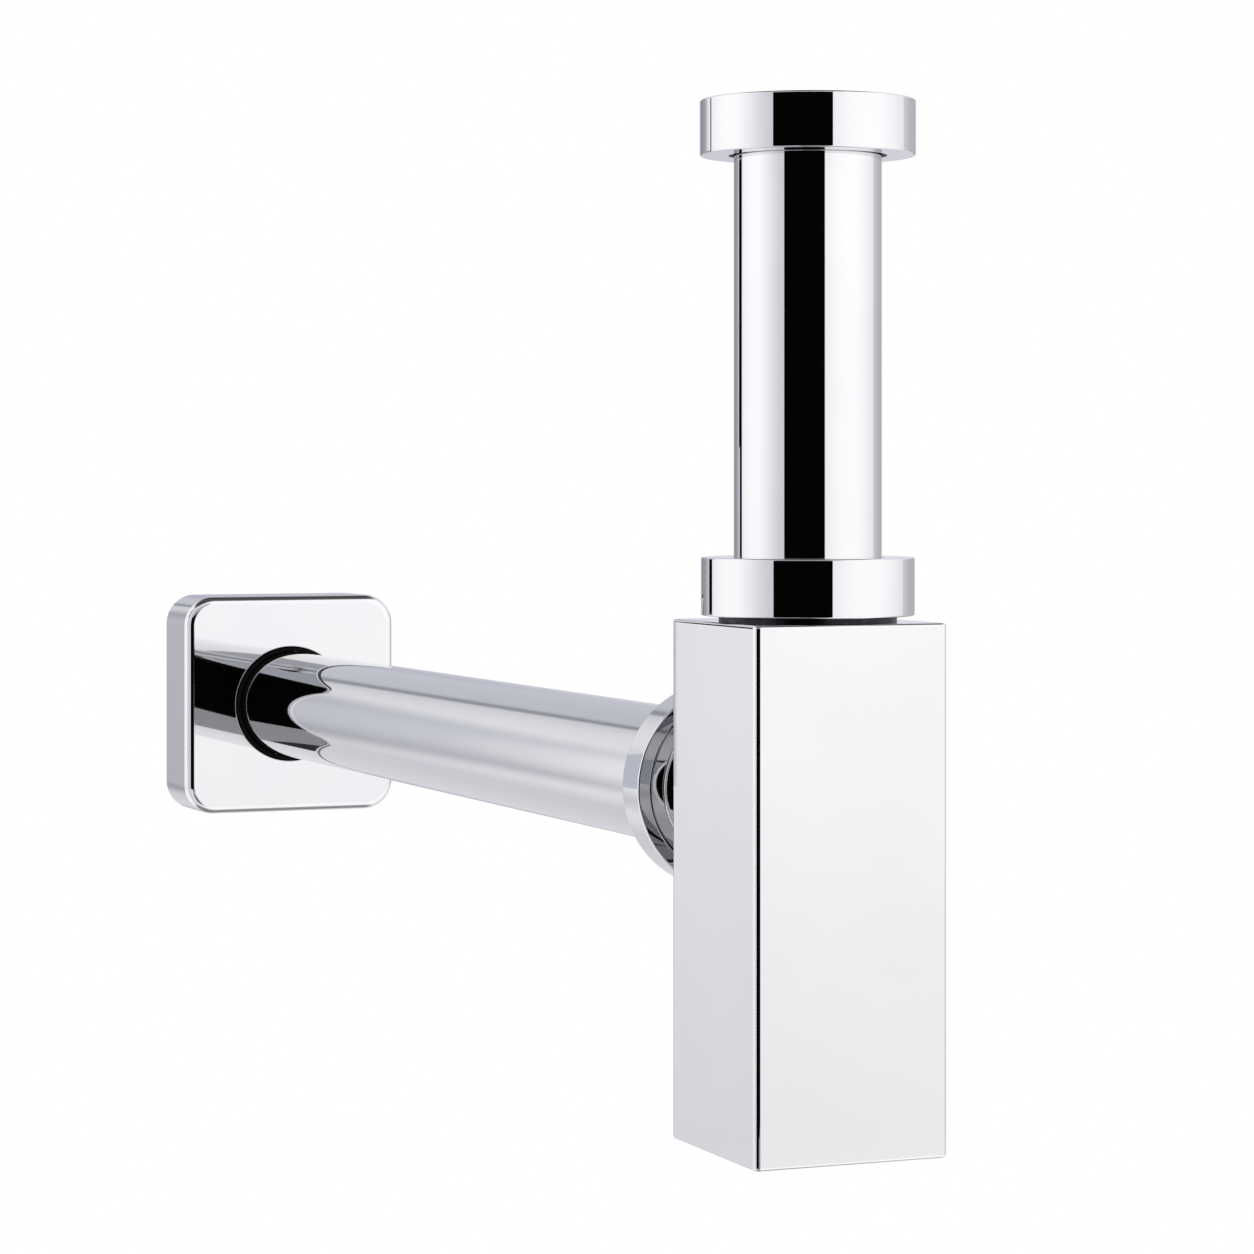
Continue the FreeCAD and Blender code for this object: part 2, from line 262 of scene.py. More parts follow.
@dataclass
class Surface:
    """A closed surface: one section carried round the axis on its outline.

    The section's corners run up the outside, in over the top and down the inside. A rounded
    corner becomes an arc tangent to both sides: its points are the centre less the radius
    times the left-hand normal of a direction that turns evenly from one side to the next.
    """

    corners: list[Corner]
    plan: Plan
    arc_steps: int = 8

    def rings(self) -> list[Ring]:
        """The rings of the surface in the order of the section.

        Returns:
            The rings of each corner, followed by those of its thread.
        """
        rings: list[Ring] = []
        places = np.array([(c.distance, c.station) for c in self.corners])
        directions = unit(np.roll(places, -1, axis=0) - places)
        for i, corner in enumerate(self.corners):
            plan = corner.plan or self.plan
            rows = self._corner_rows(corner.rounding, places[i], directions[i - 1], directions[i])
            rings += [self._ring(plan, place, before, after) for place, before, after in rows]
            if corner.thread is not None:
                end = places[(i + 1) % len(places)][1]
                rings += self._thread_rings(corner, end, plan)
        return rings

    def _corner_rows(self, rounding: float, place: np.ndarray, arriving: np.ndarray,
                     leaving: np.ndarray) -> list[tuple[np.ndarray, np.ndarray, np.ndarray]]:
        """Places and normals at one corner: one row if it is sharp, an arc if it is rounded.

        Args:
            rounding: Radius of the arc.
            place: The corner's distance and station.
            arriving: Direction of the side before it.
            leaving: Direction of the side after it.

        Returns:
            For each row its place and its normals in the bands before and after it.
        """
        if rounding == 0:
            return [(place, outward(arriving), outward(leaving))]
        cross = arriving[0] * leaving[1] - arriving[1] * leaving[0]
        turn = math.atan2(cross, float(arriving @ leaving))
        reach = math.copysign(rounding, turn)
        start = place - arriving * rounding * math.tan(abs(turn) / 2)
        angles = turn * np.linspace(0.0, 1.0, self.arc_steps + 1)
        tangents = np.stack([
            arriving[0] * np.cos(angles) - arriving[1] * np.sin(angles),
            arriving[0] * np.sin(angles) + arriving[1] * np.cos(angles),
        ], axis=1)
        normals = outward(tangents)
        places = start - reach * normals[0] + reach * normals
        return [(p, n, n) for p, n in zip(places, normals)]

    def _ring(self, plan: Plan, place: np.ndarray, before: np.ndarray,
              after: np.ndarray) -> Ring:
        """One ring at a place of the section.

        Args:
            plan: The outline that it follows.
            place: Its distance and station.
            before: The section's normal in the band before it.
            after: The section's normal in the band after it.

        Returns:
            The ring.
        """
        flat = plan.at(place[0])
        column = np.ones((len(flat), 1))
        normals = [np.concatenate([plan.normals * n[0], column * n[1]], axis=1)
                   for n in (before, after)]
        return Ring(np.concatenate([flat, column * place[1]], axis=1), *normals)

    def _thread_rings(self, corner: Corner, end: float, plan: Plan) -> list[Ring]:
        """Rings whose radius follows a thread, with normals from the cross product of the
        surface's own slopes along and round the axis.

        Args:
            corner: The corner at which the thread starts.
            end: Station at which it ends.
            plan: The circle that it goes round.

        Returns:
            The rings between the two ends.
        """
        stations = np.linspace(corner.station, end,
                               corner.thread.rows(abs(end - corner.station)) + 1)
        angles = np.unwrap(np.arctan2(plan.normals[:, 1], plan.normals[:, 0]))
        radii = corner.thread.radii(corner.distance, stations, angles)
        points = np.concatenate([
            plan.normals[None, :, :] * radii[:, :, None],
            np.broadcast_to(stations[:, None, None], (*radii.shape, 1)),
        ], axis=2)
        around = np.roll(points, -1, axis=1) - np.roll(points, 1, axis=1)
        normals = unit(np.cross(around, np.gradient(points, axis=0)))
        return [Ring(p, n, n) for p, n in zip(points[1:-1], normals[1:-1])]

    def bands(self) -> Quads:
        """Faces that join each ring to the next one.

        Returns:
            The faces, shaped (bands, columns, 4, 3).
        """
        rings = self.rings()
        here, before, after = (np.stack([getattr(ring, part) for ring in rings])
                               for part in ("points", "before", "after"))
        return Quads(woven(here, np.roll(here, -1, axis=0)),
                     woven(after, np.roll(before, -1, axis=0)))


def laid(quads: Quads, lie: Lie, height: float) -> Quads:
    """Faces made on +Z, laid the way the piece lies.

    Args:
        quads: Faces whose stations run along +Z.
        lie: LEVEL turns (x, y, z) into (x, z, -y) and lifts it to the outlet's height.
        height: Height of the outlet's axis.

    Returns:
        The faces in the trap's frame.
    """
    if lie is Lie.UPRIGHT:
        return quads
    return Quads(quads.points @ LAY_DOWN + np.array([0.0, 0.0, height]),
                 quads.normals @ LAY_DOWN)


def linked(name: str, data: ID) -> Object:
    """Put data in the scene as a new object.

    Args:
        name: Name of the object.
        data: Its mesh, camera or light.

    Returns:
        The object, at the origin.
    """
    thing = bpy.data.objects.new(name, data)
    bpy.context.scene.collection.objects.link(thing)
    return thing


def mesh_object(name: str, quads: Quads) -> Object:
    """Weld faces into one mesh with exact normals.

    Corners that share a place become one vertex, and a face that shrinks to a triangle at
    a pole keeps three corners.

    Args:
        name: Name of the piece.
        quads: Its faces.

    Returns:
        The new object.
    """
    flat = quads.points.reshape(-1, 3)
    keys = np.round(flat / WELD).astype(np.int64)
    _, first, ids = np.unique(keys, axis=0, return_index=True, return_inverse=True)
    ids = ids.reshape(-1, 4)
    kept = ids != np.roll(ids, -1, axis=1)
    kept &= (kept.sum(axis=1) >= 3)[:, None]
    sizes = kept.sum(axis=1)
    sizes = sizes[sizes > 0]
    mesh = bpy.data.meshes.new(name)
    mesh.vertices.add(len(first))
    mesh.vertices.foreach_set("co", flat[first].astype(np.float32).ravel())
    mesh.loops.add(int(sizes.sum()))
    mesh.loops.foreach_set("vertex_index", ids[kept].astype(np.int32))
    mesh.polygons.add(len(sizes))
    starts = np.concatenate([[0], np.cumsum(sizes)[:-1]])
    mesh.polygons.foreach_set("loop_start", starts.astype(np.int32))
    mesh.update(calc_edges=True)
    mesh.polygons.foreach_set("use_smooth", np.ones(len(sizes), dtype=bool))
    mesh.normals_split_custom_set(unit(quads.normals[kept]).tolist())
    mesh.update()
    return linked(name, mesh)


def flat_object(name: str, corners: list[tuple[float, float, float]],
                faces: list[tuple[int, ...]]) -> Object:
    """A plain object from corner points and the numbers of each face's corners.

    Args:
        name: Name of the object.
        corners: Its corner points.
        faces: Its faces.

    Returns:
        The new object.
    """
    mesh = bpy.data.meshes.new(name)
    mesh.from_pydata(corners, [], faces)
    return linked(name, mesh)


def linear(colour: str, alpha: float = 1.0) -> tuple[float, float, float, float]:
    """A colour in linear light, by the sRGB curve.

    Args:
        colour: An sRGB hex colour such as "#c9cacc".
        alpha: Its opacity.

    Returns:
        Linear red, green, blue and alpha.
    """
    channels = [int(colour[i:i + 2], 16) / 255 for i in (1, 3, 5)]
    red, green, blue = (c / 12.92 if c <= 0.04045 else ((c + 0.055) / 1.055) ** 2.4
                        for c in channels)
    return red, green, blue, alpha


def add_node(tree: NodeTree, kind: str, settings: dict | None = None,
             inputs: dict | None = None, stops: list[tuple[float, tuple]] | None = None) -> Node:
    """Add a node, set its properties and fill its sockets.

    Args:
        tree: The node tree.
        kind: Blender's name of the node type, after its "ShaderNode".
        settings: Properties of the node by name.
        inputs: Socket name or number to a value, or to another node's output to link.
        stops: A Color Ramp's positions and linear colours, in rising order.

    Returns:
        The new node.
    """
    node = tree.nodes.new("ShaderNode" + kind)
    for key, value in (settings or {}).items():
        setattr(node, key, value)
    for key, value in (inputs or {}).items():
        socket = node.inputs[key]
        if isinstance(value, NodeSocket):
            tree.links.new(value, socket)
        else:
            socket.default_value = value
    if stops:
        elements = node.color_ramp.elements
        elements.remove(elements[-1])
        elements[0].position, elements[0].color = stops[0]
        for position, colour in stops[1:]:
            elements.new(position).color = colour
    return node


def bare_tree(owner: Material | World) -> NodeTree:
    """Turn on the nodes of a material or a world and clear them.

    Args:
        owner: The material or world.

    Returns:
        Its empty node tree.
    """
    owner.use_nodes = True
    owner.node_tree.nodes.clear()
    return owner.node_tree


def scale_for(feature: float) -> float:
    """Noise scale on Object coordinates at which a feature has this size in metres."""
    return 1.0 / feature


@dataclass(frozen=True)
class Finish:
    """What every finish has: a name, a slot, and a base and bump built from noise.

    Two tones are mixed by a coarse noise, the roughness follows a second one, and a fine
    one lifts the surface by a few micrometres. Noise stays near its middle, so the bands
    say which part of its range is used. A metal keeps the shader's own IOR.
    """

    name: str
    slot: Slot
    tones: tuple[str, str]
    tone_size: float
    roughness: tuple[float, float]
    roughness_size: float
    grain_size: float
    grain_height: float
    metallic: float = 0.0
    ior: float | None = None
    tone_band: tuple[float, float] = (0.35, 0.65)
    roughness_band: tuple[float, float] = (0.3, 0.7)
    noise_detail: float = 2.0

    def material(self) -> Material:
        """The finish as a node-based material.

        Returns:
            The new material.
        """
        material = bpy.data.materials.new(self.name)
        material.use_nodes = True
        material.diffuse_color = linear(self.tones[0])
        material.metallic = self.metallic
        tree = material.node_tree
        shader = tree.nodes["Principled BSDF"]
        shader.inputs["Metallic"].default_value = self.metallic
        if self.ior is not None:
            shader.inputs["IOR"].default_value = self.ior
        self._paint(tree, shader)
        return material

    def _paint(self, tree: NodeTree, shader: Node) -> None:
        """Link colour, roughness and bump to the shader.

        Args:
            tree: The material's node tree.
            shader: Its shader.
        """
        place = add_node(tree, "TexCoord").outputs["Object"]
        tone, haze, grain = (
            add_node(tree, "TexNoise", inputs={
                "Vector": place, "Scale": scale_for(size), "Detail": self.noise_detail,
                "Roughness": 0.5}).outputs["Fac"]
            for size in (self.tone_size, self.roughness_size, self.grain_size))
        colour = add_node(tree, "ValToRGB", inputs={"Fac": tone}, stops=[
            (share, linear(shade)) for share, shade in zip(self.tone_band, self.tones)])
        rough = add_node(tree, "MapRange", inputs={
            "Value": haze, "From Min": self.roughness_band[0], "From Max": self.roughness_band[1],
            "To Min": self.roughness[0], "To Max": self.roughness[1]})
        bump = add_node(tree, "Bump", inputs={
            "Height": grain, "Strength": 1.0, "Distance": self.grain_height})
        for source, socket in ((colour, "Base Color"), (rough, "Roughness"), (bump, "Normal")):
            tree.links.new(source.outputs[0], shader.inputs[socket])


# Bright chrome plate over polished brass: a cool mirror, a hair softer where the buff left
# haze, with the faint waviness of a hand-polished face.
POLISHED_CHROME = Finish(
    "chrome_plate_mirror_polished", Slot.CHROME, ("#d3d3d4", "#d1d1d3"), 30 * MM,
    (0.012, 0.03), 18 * MM, 9 * MM, 0.0004 * MM, metallic=1.0)

# Threads and undercuts straight from the lathe: plated, but neither ground nor buffed. The dark
# base colour is painted shade: the shadow in the gap between the collar nut and the body.
THREAD_PAINTED_SHADE = Finish(
    "chrome_plate_thread_painted_shade", Slot.CHROME, ("#323337", "#28292c"), 3 * MM,
    (0.28, 0.42), 1.5 * MM, 0.3 * MM, 0.008 * MM, metallic=1.0)

# Bare drawn brass inside the tubes: warm, dull and streaked by the die.
DRAWN_BRASS = Finish(
    "brass_drawn_bare_bore", Slot.CHROME, ("#b39a62", "#94804f"), 4 * MM,
    (0.32, 0.5), 2 * MM, 0.5 * MM, 0.01 * MM, metallic=1.0)

# Black EPDM rubber, compression moulded: satin, with a fine even grain.
MOULDED_RUBBER = Finish(
    "rubber_moulded_black", Slot.RUBBER, ("#121213", "#1b1b1d"), 3 * MM,
    (0.38, 0.55), 1.5 * MM, 0.25 * MM, 0.012 * MM, ior=1.52)

# The same rubber in the ring that shows, coloured darker and given a low IOR, which takes
# almost all of its sheen.
MATT_BLACK_RUBBER = Finish(
    "rubber_moulded_black_matt", Slot.RUBBER, ("#050506", "#09090a"), 3 * MM,
    (0.5, 0.62), 1.5 * MM, 0.3 * MM, 0.008 * MM, ior=1.16)

# White nylon, injection moulded: waxy and slightly warm.
MOULDED_NYLON = Finish(
    "nylon_moulded_white", Slot.NYLON, ("#e6e3da", "#dedbd0"), 5 * MM,
    (0.4, 0.52), 2 * MM, 0.3 * MM, 0.006 * MM, ior=1.53)

# Grey polypropylene, injection moulded: matte, with flow marks.
MOULDED_PLASTIC = Finish(
    "polypropylene_moulded_grey", Slot.PLASTIC, ("#8f9297", "#9a9da1"), 6 * MM,
    (0.45, 0.6), 2 * MM, 0.4 * MM, 0.008 * MM, ior=1.49)


@dataclass
class Workshop:
    """Makes pieces: builds their meshes, dresses them and puts them on their bodies."""

    nodes: dict[str, Object]
    outlet_height: float
    segments: int = 256
    materials: dict[str, Material] = field(default_factory=dict)
    made: list[str] = field(default_factory=list)

    def finish(self, finish: Finish) -> Material:
        """The material of a finish, made once.

        Args:
            finish: The finish.

        Returns:
            Its material.
        """
        if finish.name not in self.materials:
            self.materials[finish.name] = finish.material()
        return self.materials[finish.name]

    def piece(self, name: str, quads: Quads, lie: Lie = Lie.UPRIGHT, body: str = "",
              finish: Finish = POLISHED_CHROME) -> Object:
        """Finish one piece that stands for the construction node of the same name.

        Args:
            name: Name of the piece.
            quads: Its faces, with stations along +Z.
            lie: The way it lies.
            body: The moving body that carries it, if that has another name.
            finish: Its surface finish.

        Returns:
            The piece.
        """
        body = body or name
        piece = mesh_object(name, laid(quads.flat(), lie, self.outlet_height))
        piece.data.materials.append(self.finish(finish))
        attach(piece, body)
        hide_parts(name)
        self.made.append(name)
        log.info("%s: %d faces on body %s", name, len(piece.data.polygons), body)
        return piece

    def turned(self, name: str, corners: list[Corner], lie: Lie = Lie.UPRIGHT, body: str = "",
               finish: Finish = POLISHED_CHROME, arc_steps: int = 8) -> Object:
        """Make a turned piece.

        Args:
            name: Name of the piece.
            corners: Its section.
            lie: The way it lies.
            body: The moving body that carries it, if that has another name.
            finish: Its surface finish.
            arc_steps: Faces round each rounded corner.

        Returns:
            The piece.
        """
        circle = round_plan(np.arange(self.segments) * TURN / self.segments)
        return self.piece(name, Surface(corners, circle, arc_steps).bands(), lie, body, finish)

    def line(self, piece: Object, lie: Lie, finish: Finish, radii: tuple[float, float],
             stations: tuple[float, float] = (-math.inf, math.inf)) -> None:
        """Give some faces of a turned piece a finish of their own.

        Args:
            piece: The piece.
            lie: The way it lies.
            finish: The finish.
            radii: Least and greatest distance of a face's middle from the axis.
            stations: Least and greatest station of a face's middle.
        """
        mesh = piece.data
        centres = np.zeros(len(mesh.polygons) * 3, dtype=np.float32)
        mesh.polygons.foreach_get("center", centres)
        centres = centres.reshape(-1, 3)
        across, along = centres[:, :2], centres[:, 2]
        if lie is Lie.LEVEL:
            across = centres[:, [0, 2]] - np.array([0.0, self.outlet_height])
            along = centres[:, 1]
        away = np.linalg.norm(across, axis=1)
        chosen = (away > radii[0]) & (away < radii[1])
        chosen &= (along > stations[0]) & (along < stations[1])
        mesh.materials.append(self.finish(finish))
        mesh.polygons.foreach_set("material_index", chosen.astype(np.int32))

    def keep(self, name: str, finish: Finish) -> None:
        """Give a construction node that shows as it is a finish.

        Args:
            name: Name of the node.
            finish: The finish.
        """
        node = self.nodes[name]
        node.data.materials.clear()
        node.data.materials.append(self.finish(finish))
        self.made.append(name)
        log.info("%s: kept as built, in %s", name, finish.name)


@dataclass(frozen=True)
class TubeSizes:
    """Standard 32 mm waste tube and the pipe thread that every big nut has, which is the
    inch-and-a-quarter one of 11 turns to the inch with rounded tips."""

    radius: float = 16.0 * MM
    wall: float = 1.0 * MM
    flange_bend: float = 0.6 * MM
    flange_radius: float = 19.0 * MM
    flange_edge: float = 0.15 * MM
    flange_arc_steps: int = 10
    bare_margin: float = 0.0075 * MM
    nut_hole: float = 17.1 * MM
    male_thread: float = 20.07 * MM
    female_thread: float = 20.37 * MM
    relief: float = 20.97 * MM
    chamfer: float = 0.4 * MM
    edge: float = 0.4 * MM
    hole_edge: float = 0.2 * MM
    thread: Thread = Thread(pitch=2.309 * MM, depth=1.4 * MM)

    @property
    def bore(self) -> float:
        """Radius of the tube's inside."""
        return self.radius - self.wall

    @property
    def bare(self) -> tuple[float, float]:
        """Radii between which the tube is unplated: its inside and the start of its bend."""
        return 0.0, self.bore + self.bare_margin

    def flanged_tube(self, flange_face: float, far_end: float) -> list[Corner]:
        """Section of a tube with a rolled flange at its first end.

        Args:
            flange_face: Station of the flange's outer face.
            far_end: Station of the plain end.

        Returns:
            The section, up the outside and down the inside.
        """
        away = math.copysign(1.0, far_end - flange_face)
        flange_inner = flange_face + away * self.wall
        section = [
            Corner(self.bore, flange_face, self.flange_bend + self.wall),
            Corner(self.flange_radius, flange_face, self.flange_edge),
            Corner(self.flange_radius, flange_inner, self.flange_edge),
            Corner(self.radius, flange_inner, self.flange_bend),
            Corner(self.radius, far_end - away * self.chamfer),
            Corner(self.radius - self.chamfer, far_end),
            Corner(self.bore, far_end),
        ]
        return section if away > 0 else walked_back(section)

    def slip_nut(self, mouth: float, relief_start: float, shoulder: float, back: float,
                 outer: float, hole: float) -> list[Corner]:
        """Section of a smooth round nut with its thread, relief and shoulder.

        Args:
            mouth: Station of the open end.
            relief_start: Where the thread ends.
            shoulder: Inner face of the shoulder.
            back: Outer face of the shoulder.
            outer: Outer radius.
            hole: Radius of the shoulder's hole.

        Returns:
            The section, up the outside and down the inside.
        """
        inwards = math.copysign(1.0, back - mouth)
        section = [
            Corner(outer, mouth, self.edge),
            Corner(outer, back, self.edge),
            Corner(hole, back, self.hole_edge),
            Corner(hole, shoulder),
            Corner(self.relief, shoulder),
            Corner(self.relief, relief_start),
            Corner(self.female_thread, relief_start, thread=self.thread),
            Corner(self.female_thread, mouth + inwards * self.chamfer),
            Corner(self.female_thread + self.chamfer, mouth),
        ]
        return section if inwards > 0 else walked_back(section)


TUBE = TubeSizes()


@dataclass
class InletJoint:
    """Slip nut on the basin waste, with the flange of the telescopic tube inside it."""

    washer_clearance: float = 0.1 * MM

    def build(self, shop: Workshop) -> None:
        """Make the nut and the tube, and dress the washer and the slip ring.

        Args:
            shop: Where the pieces are made.
        """
        nut_low, nut_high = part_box("inlet_nut")
        washer_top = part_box("inlet_washer")[1].z
        ring_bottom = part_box("inlet_slip_ring")[0].z
        shop.turned("inlet_nut", TUBE.slip_nut(nut_high.z, washer_top + self.washer_clearance,
                                               ring_bottom, nut_low.z, nut_high.x, TUBE.nut_hole))
        tube_low, tube_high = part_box("inlet_tube")
        tube = shop.turned("inlet_tube", TUBE.flanged_tube(tube_high.z, tube_low.z),
                           arc_steps=TUBE.flange_arc_steps)
        shop.line(tube, Lie.UPRIGHT, DRAWN_BRASS, TUBE.bare)
        shop.keep("inlet_washer", MOULDED_RUBBER)
        shop.keep("inlet_slip_ring", MOULDED_NYLON)


@dataclass
class CollarJoint:
    """Compression collar on the body, in which the inlet tube telescopes."""

    hole_gap: float = 0.5 * MM
    root_height: float = 1.6 * MM
    root_depth: float = 0.8 * MM
    shank_wall: float = 1.0 * MM
    spigot_bore: float = 17.4 * MM
    counterbore: float = 18.7 * MM
    dip_flange: float = 1.5 * MM
    painted_shade_margin: float = 0.1 * MM

    def build(self, shop: Workshop) -> None:
        """Make the nut and the spigot, and dress the seal, the ring and the dip tube.

        Args:
            shop: Where the pieces are made.
        """
        nut_low, nut_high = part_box("collar_nut")
        spigot_low, spigot_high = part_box("collar_spigot")
        body_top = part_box("trap_body")[1].z
        ring_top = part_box("collar_slip_ring")[1].z
        dip_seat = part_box("collar_seal")[0].z - self.dip_flange
        thread_top = spigot_high.z - TUBE.chamfer
        shop.turned("collar_nut", TUBE.slip_nut(nut_low.z, thread_top, ring_top, nut_high.z,
                                                nut_high.x, TUBE.radius + self.hole_gap))
        root = TUBE.male_thread - self.root_depth
        shank = self.spigot_bore + self.shank_wall
        spigot = shop.turned("collar_spigot", [
            Corner(shank, spigot_low.z),
            Corner(shank, body_top),
            Corner(root, body_top),
            Corner(root, body_top + self.root_height),
            Corner(TUBE.male_thread, body_top + self.root_height, thread=TUBE.thread),
            Corner(TUBE.male_thread, thread_top),
            Corner(TUBE.male_thread - TUBE.chamfer, spigot_high.z),
            Corner(self.counterbore, spigot_high.z),
            Corner(self.counterbore, dip_seat),
            Corner(self.spigot_bore, dip_seat),
            Corner(self.spigot_bore, spigot_low.z),
        ], body="trap_body")
        # Painted shade: the spigot's bare thread in the gap under the collar nut is coloured dark.
        shop.line(spigot, Lie.UPRIGHT, THREAD_PAINTED_SHADE, (root - self.painted_shade_margin, math.inf),
                  (body_top, thread_top))
        shop.keep("collar_slip_ring", MOULDED_NYLON)
        shop.keep("collar_seal", MOULDED_RUBBER)
        shop.keep("dip_tube", MOULDED_PLASTIC)


@dataclass
class SquareBody:
    """Hollow square body with its brazed base.

    The walls are one surface. The back wall is opened for the neck: the faces of its flat
    window are left out, and rings of faces run from the window's edge to a round hole.
    """

    wall: float = 2.0 * MM
    top: float = 2.5 * MM
    base: float = 3.0 * MM
    ledge: float = 0.5 * MM
    edge: float = 1.4 * MM
    rim: float = 0.7 * MM
    cavity_corner: float = 1.5 * MM
    spigot_hole: float = 18.45 * MM
    neck_hole: float = 16.05 * MM
    grid: SquareGrid = field(default_factory=SquareGrid)

    def build(self, shop: Workshop) -> None:
        """Make the body."""
        shop.piece("trap_body", self._walls(shop.outlet_height))

    def _walls(self, neck_height: float) -> Quads:
        """The walls as one closed surface with a round hole in the back.

        Args:
            neck_height: Height of the hole's middle.

        Returns:
            All the faces.
        """
        low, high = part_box("trap_body")
        half = high.x
        cavity_half = half - self.wall
        seat_half = cavity_half + self.ledge
        outer = self.grid.plan(half, self.edge)
        cavity = self.grid.plan(cavity_half, self.cavity_corner)
        seat = self.grid.plan(seat_half, self.cavity_corner + self.ledge)
        hole = outer.circle()
        floor = low.z + self.base
        ceiling = high.z - self.top
        window = neck_height + self.grid.side_steps(outer)
        inner_window = neck_height + self.grid.side_steps(cavity)
        bands = Surface([
            Corner(half, low.z, self.rim, outer),
            *[Corner(half, z, plan=outer) for z in window],
            Corner(half, high.z, self.rim, outer),
            Corner(self.spigot_hole, high.z, plan=hole),
            Corner(self.spigot_hole, ceiling, plan=hole),
            Corner(cavity_half, ceiling, plan=cavity),
            *[Corner(cavity_half, z, plan=cavity) for z in inner_window[::-1]],
            Corner(cavity_half, floor, plan=cavity),
            Corner(seat_half, floor, plan=seat),
            Corner(seat_half, low.z, plan=seat),
        ], outer).bands()
        stations = bands.points[:, 0, 0, 2]
        distances = abs(bands.points[:, 0, 0, 0])
        outer_rows = (distances > half - WELD) & (stations > window[0] - WELD)
        outer_rows &= stations < window[-1] - WELD
        inner_rows = (abs(distances - cavity_half) < WELD) & (stations > inner_window[0] + WELD)
        inner_rows &= stations < inner_window[-1] + WELD
        left_out = np.zeros(bands.points.shape[:2], dtype=bool)
        left_out[np.ix_(outer_rows | inner_rows, self.grid.back_columns()[:-1])] = True
        walls = Quads(bands.points[~left_out], bands.normals[~left_out])
        centre = np.array([0.0, 0.0, neck_height])
        back, back_ring = self._holed(outer, window, centre, half, 1.0)
        inside, inside_ring = self._holed(cavity, inner_window, centre, cavity_half, -1.0)
        return walls.joined(back, inside, self._hole_wall(inside_ring, back_ring, centre))

    def _holed(self, plan: Plan, rows: np.ndarray, centre: np.ndarray, depth: float,
               facing: float) -> tuple[Quads, np.ndarray]:
        """Faces from a square window's edge to a round hole.

        Each point of the edge is joined to the point of the circle in the same direction
        from the middle.

        Args:
            plan: The outline whose back side holds the window.
            rows: Heights of the window's rows.
            centre: Middle of the hole at depth zero.
            depth: The wall's station along +Y.
            facing: 1 if the wall faces +Y, -1 if it faces -Y.

        Returns:
            The faces and the circle's points.
        """
        across = plan.base[self.grid.back_columns(), 0]
        edge = np.concatenate([
            np.stack([across[:-1], np.full(len(across) - 1, rows[-1])], axis=1),
            np.stack([np.full(len(rows) - 1, across[-1]), rows[:0:-1]], axis=1),
            np.stack([across[:0:-1], np.full(len(across) - 1, rows[0])], axis=1),
            np.stack([np.full(len(rows) - 1, across[0]), rows[:-1]], axis=1),
        ])
        edge = np.stack([edge[:, 0], np.full(len(edge), depth), edge[:, 1]], axis=1)
        middle = centre + np.array([0.0, depth, 0.0])
        circle = middle + self.neck_hole * unit(edge - middle)
        faces = woven(circle, edge)
        if facing < 0:
            faces = faces[:, ::-1]
        normals = np.broadcast_to(np.array([0.0, facing, 0.0]), faces.shape)
        return Quads(faces, normals.copy()), circle

    def _hole_wall(self, inside: np.ndarray, back: np.ndarray, centre: np.ndarray) -> Quads:
        """The round wall of the hole, which faces its own axis.

        Args:
            inside: The circle on the cavity's side.
            back: The circle on the outer side.
            centre: Middle of the hole at depth zero.

        Returns:
            The faces.
        """
        faces = woven(inside, back)
        spokes = faces - centre
        spokes[..., 1] = 0.0
        return Quads(faces, -unit(spokes))


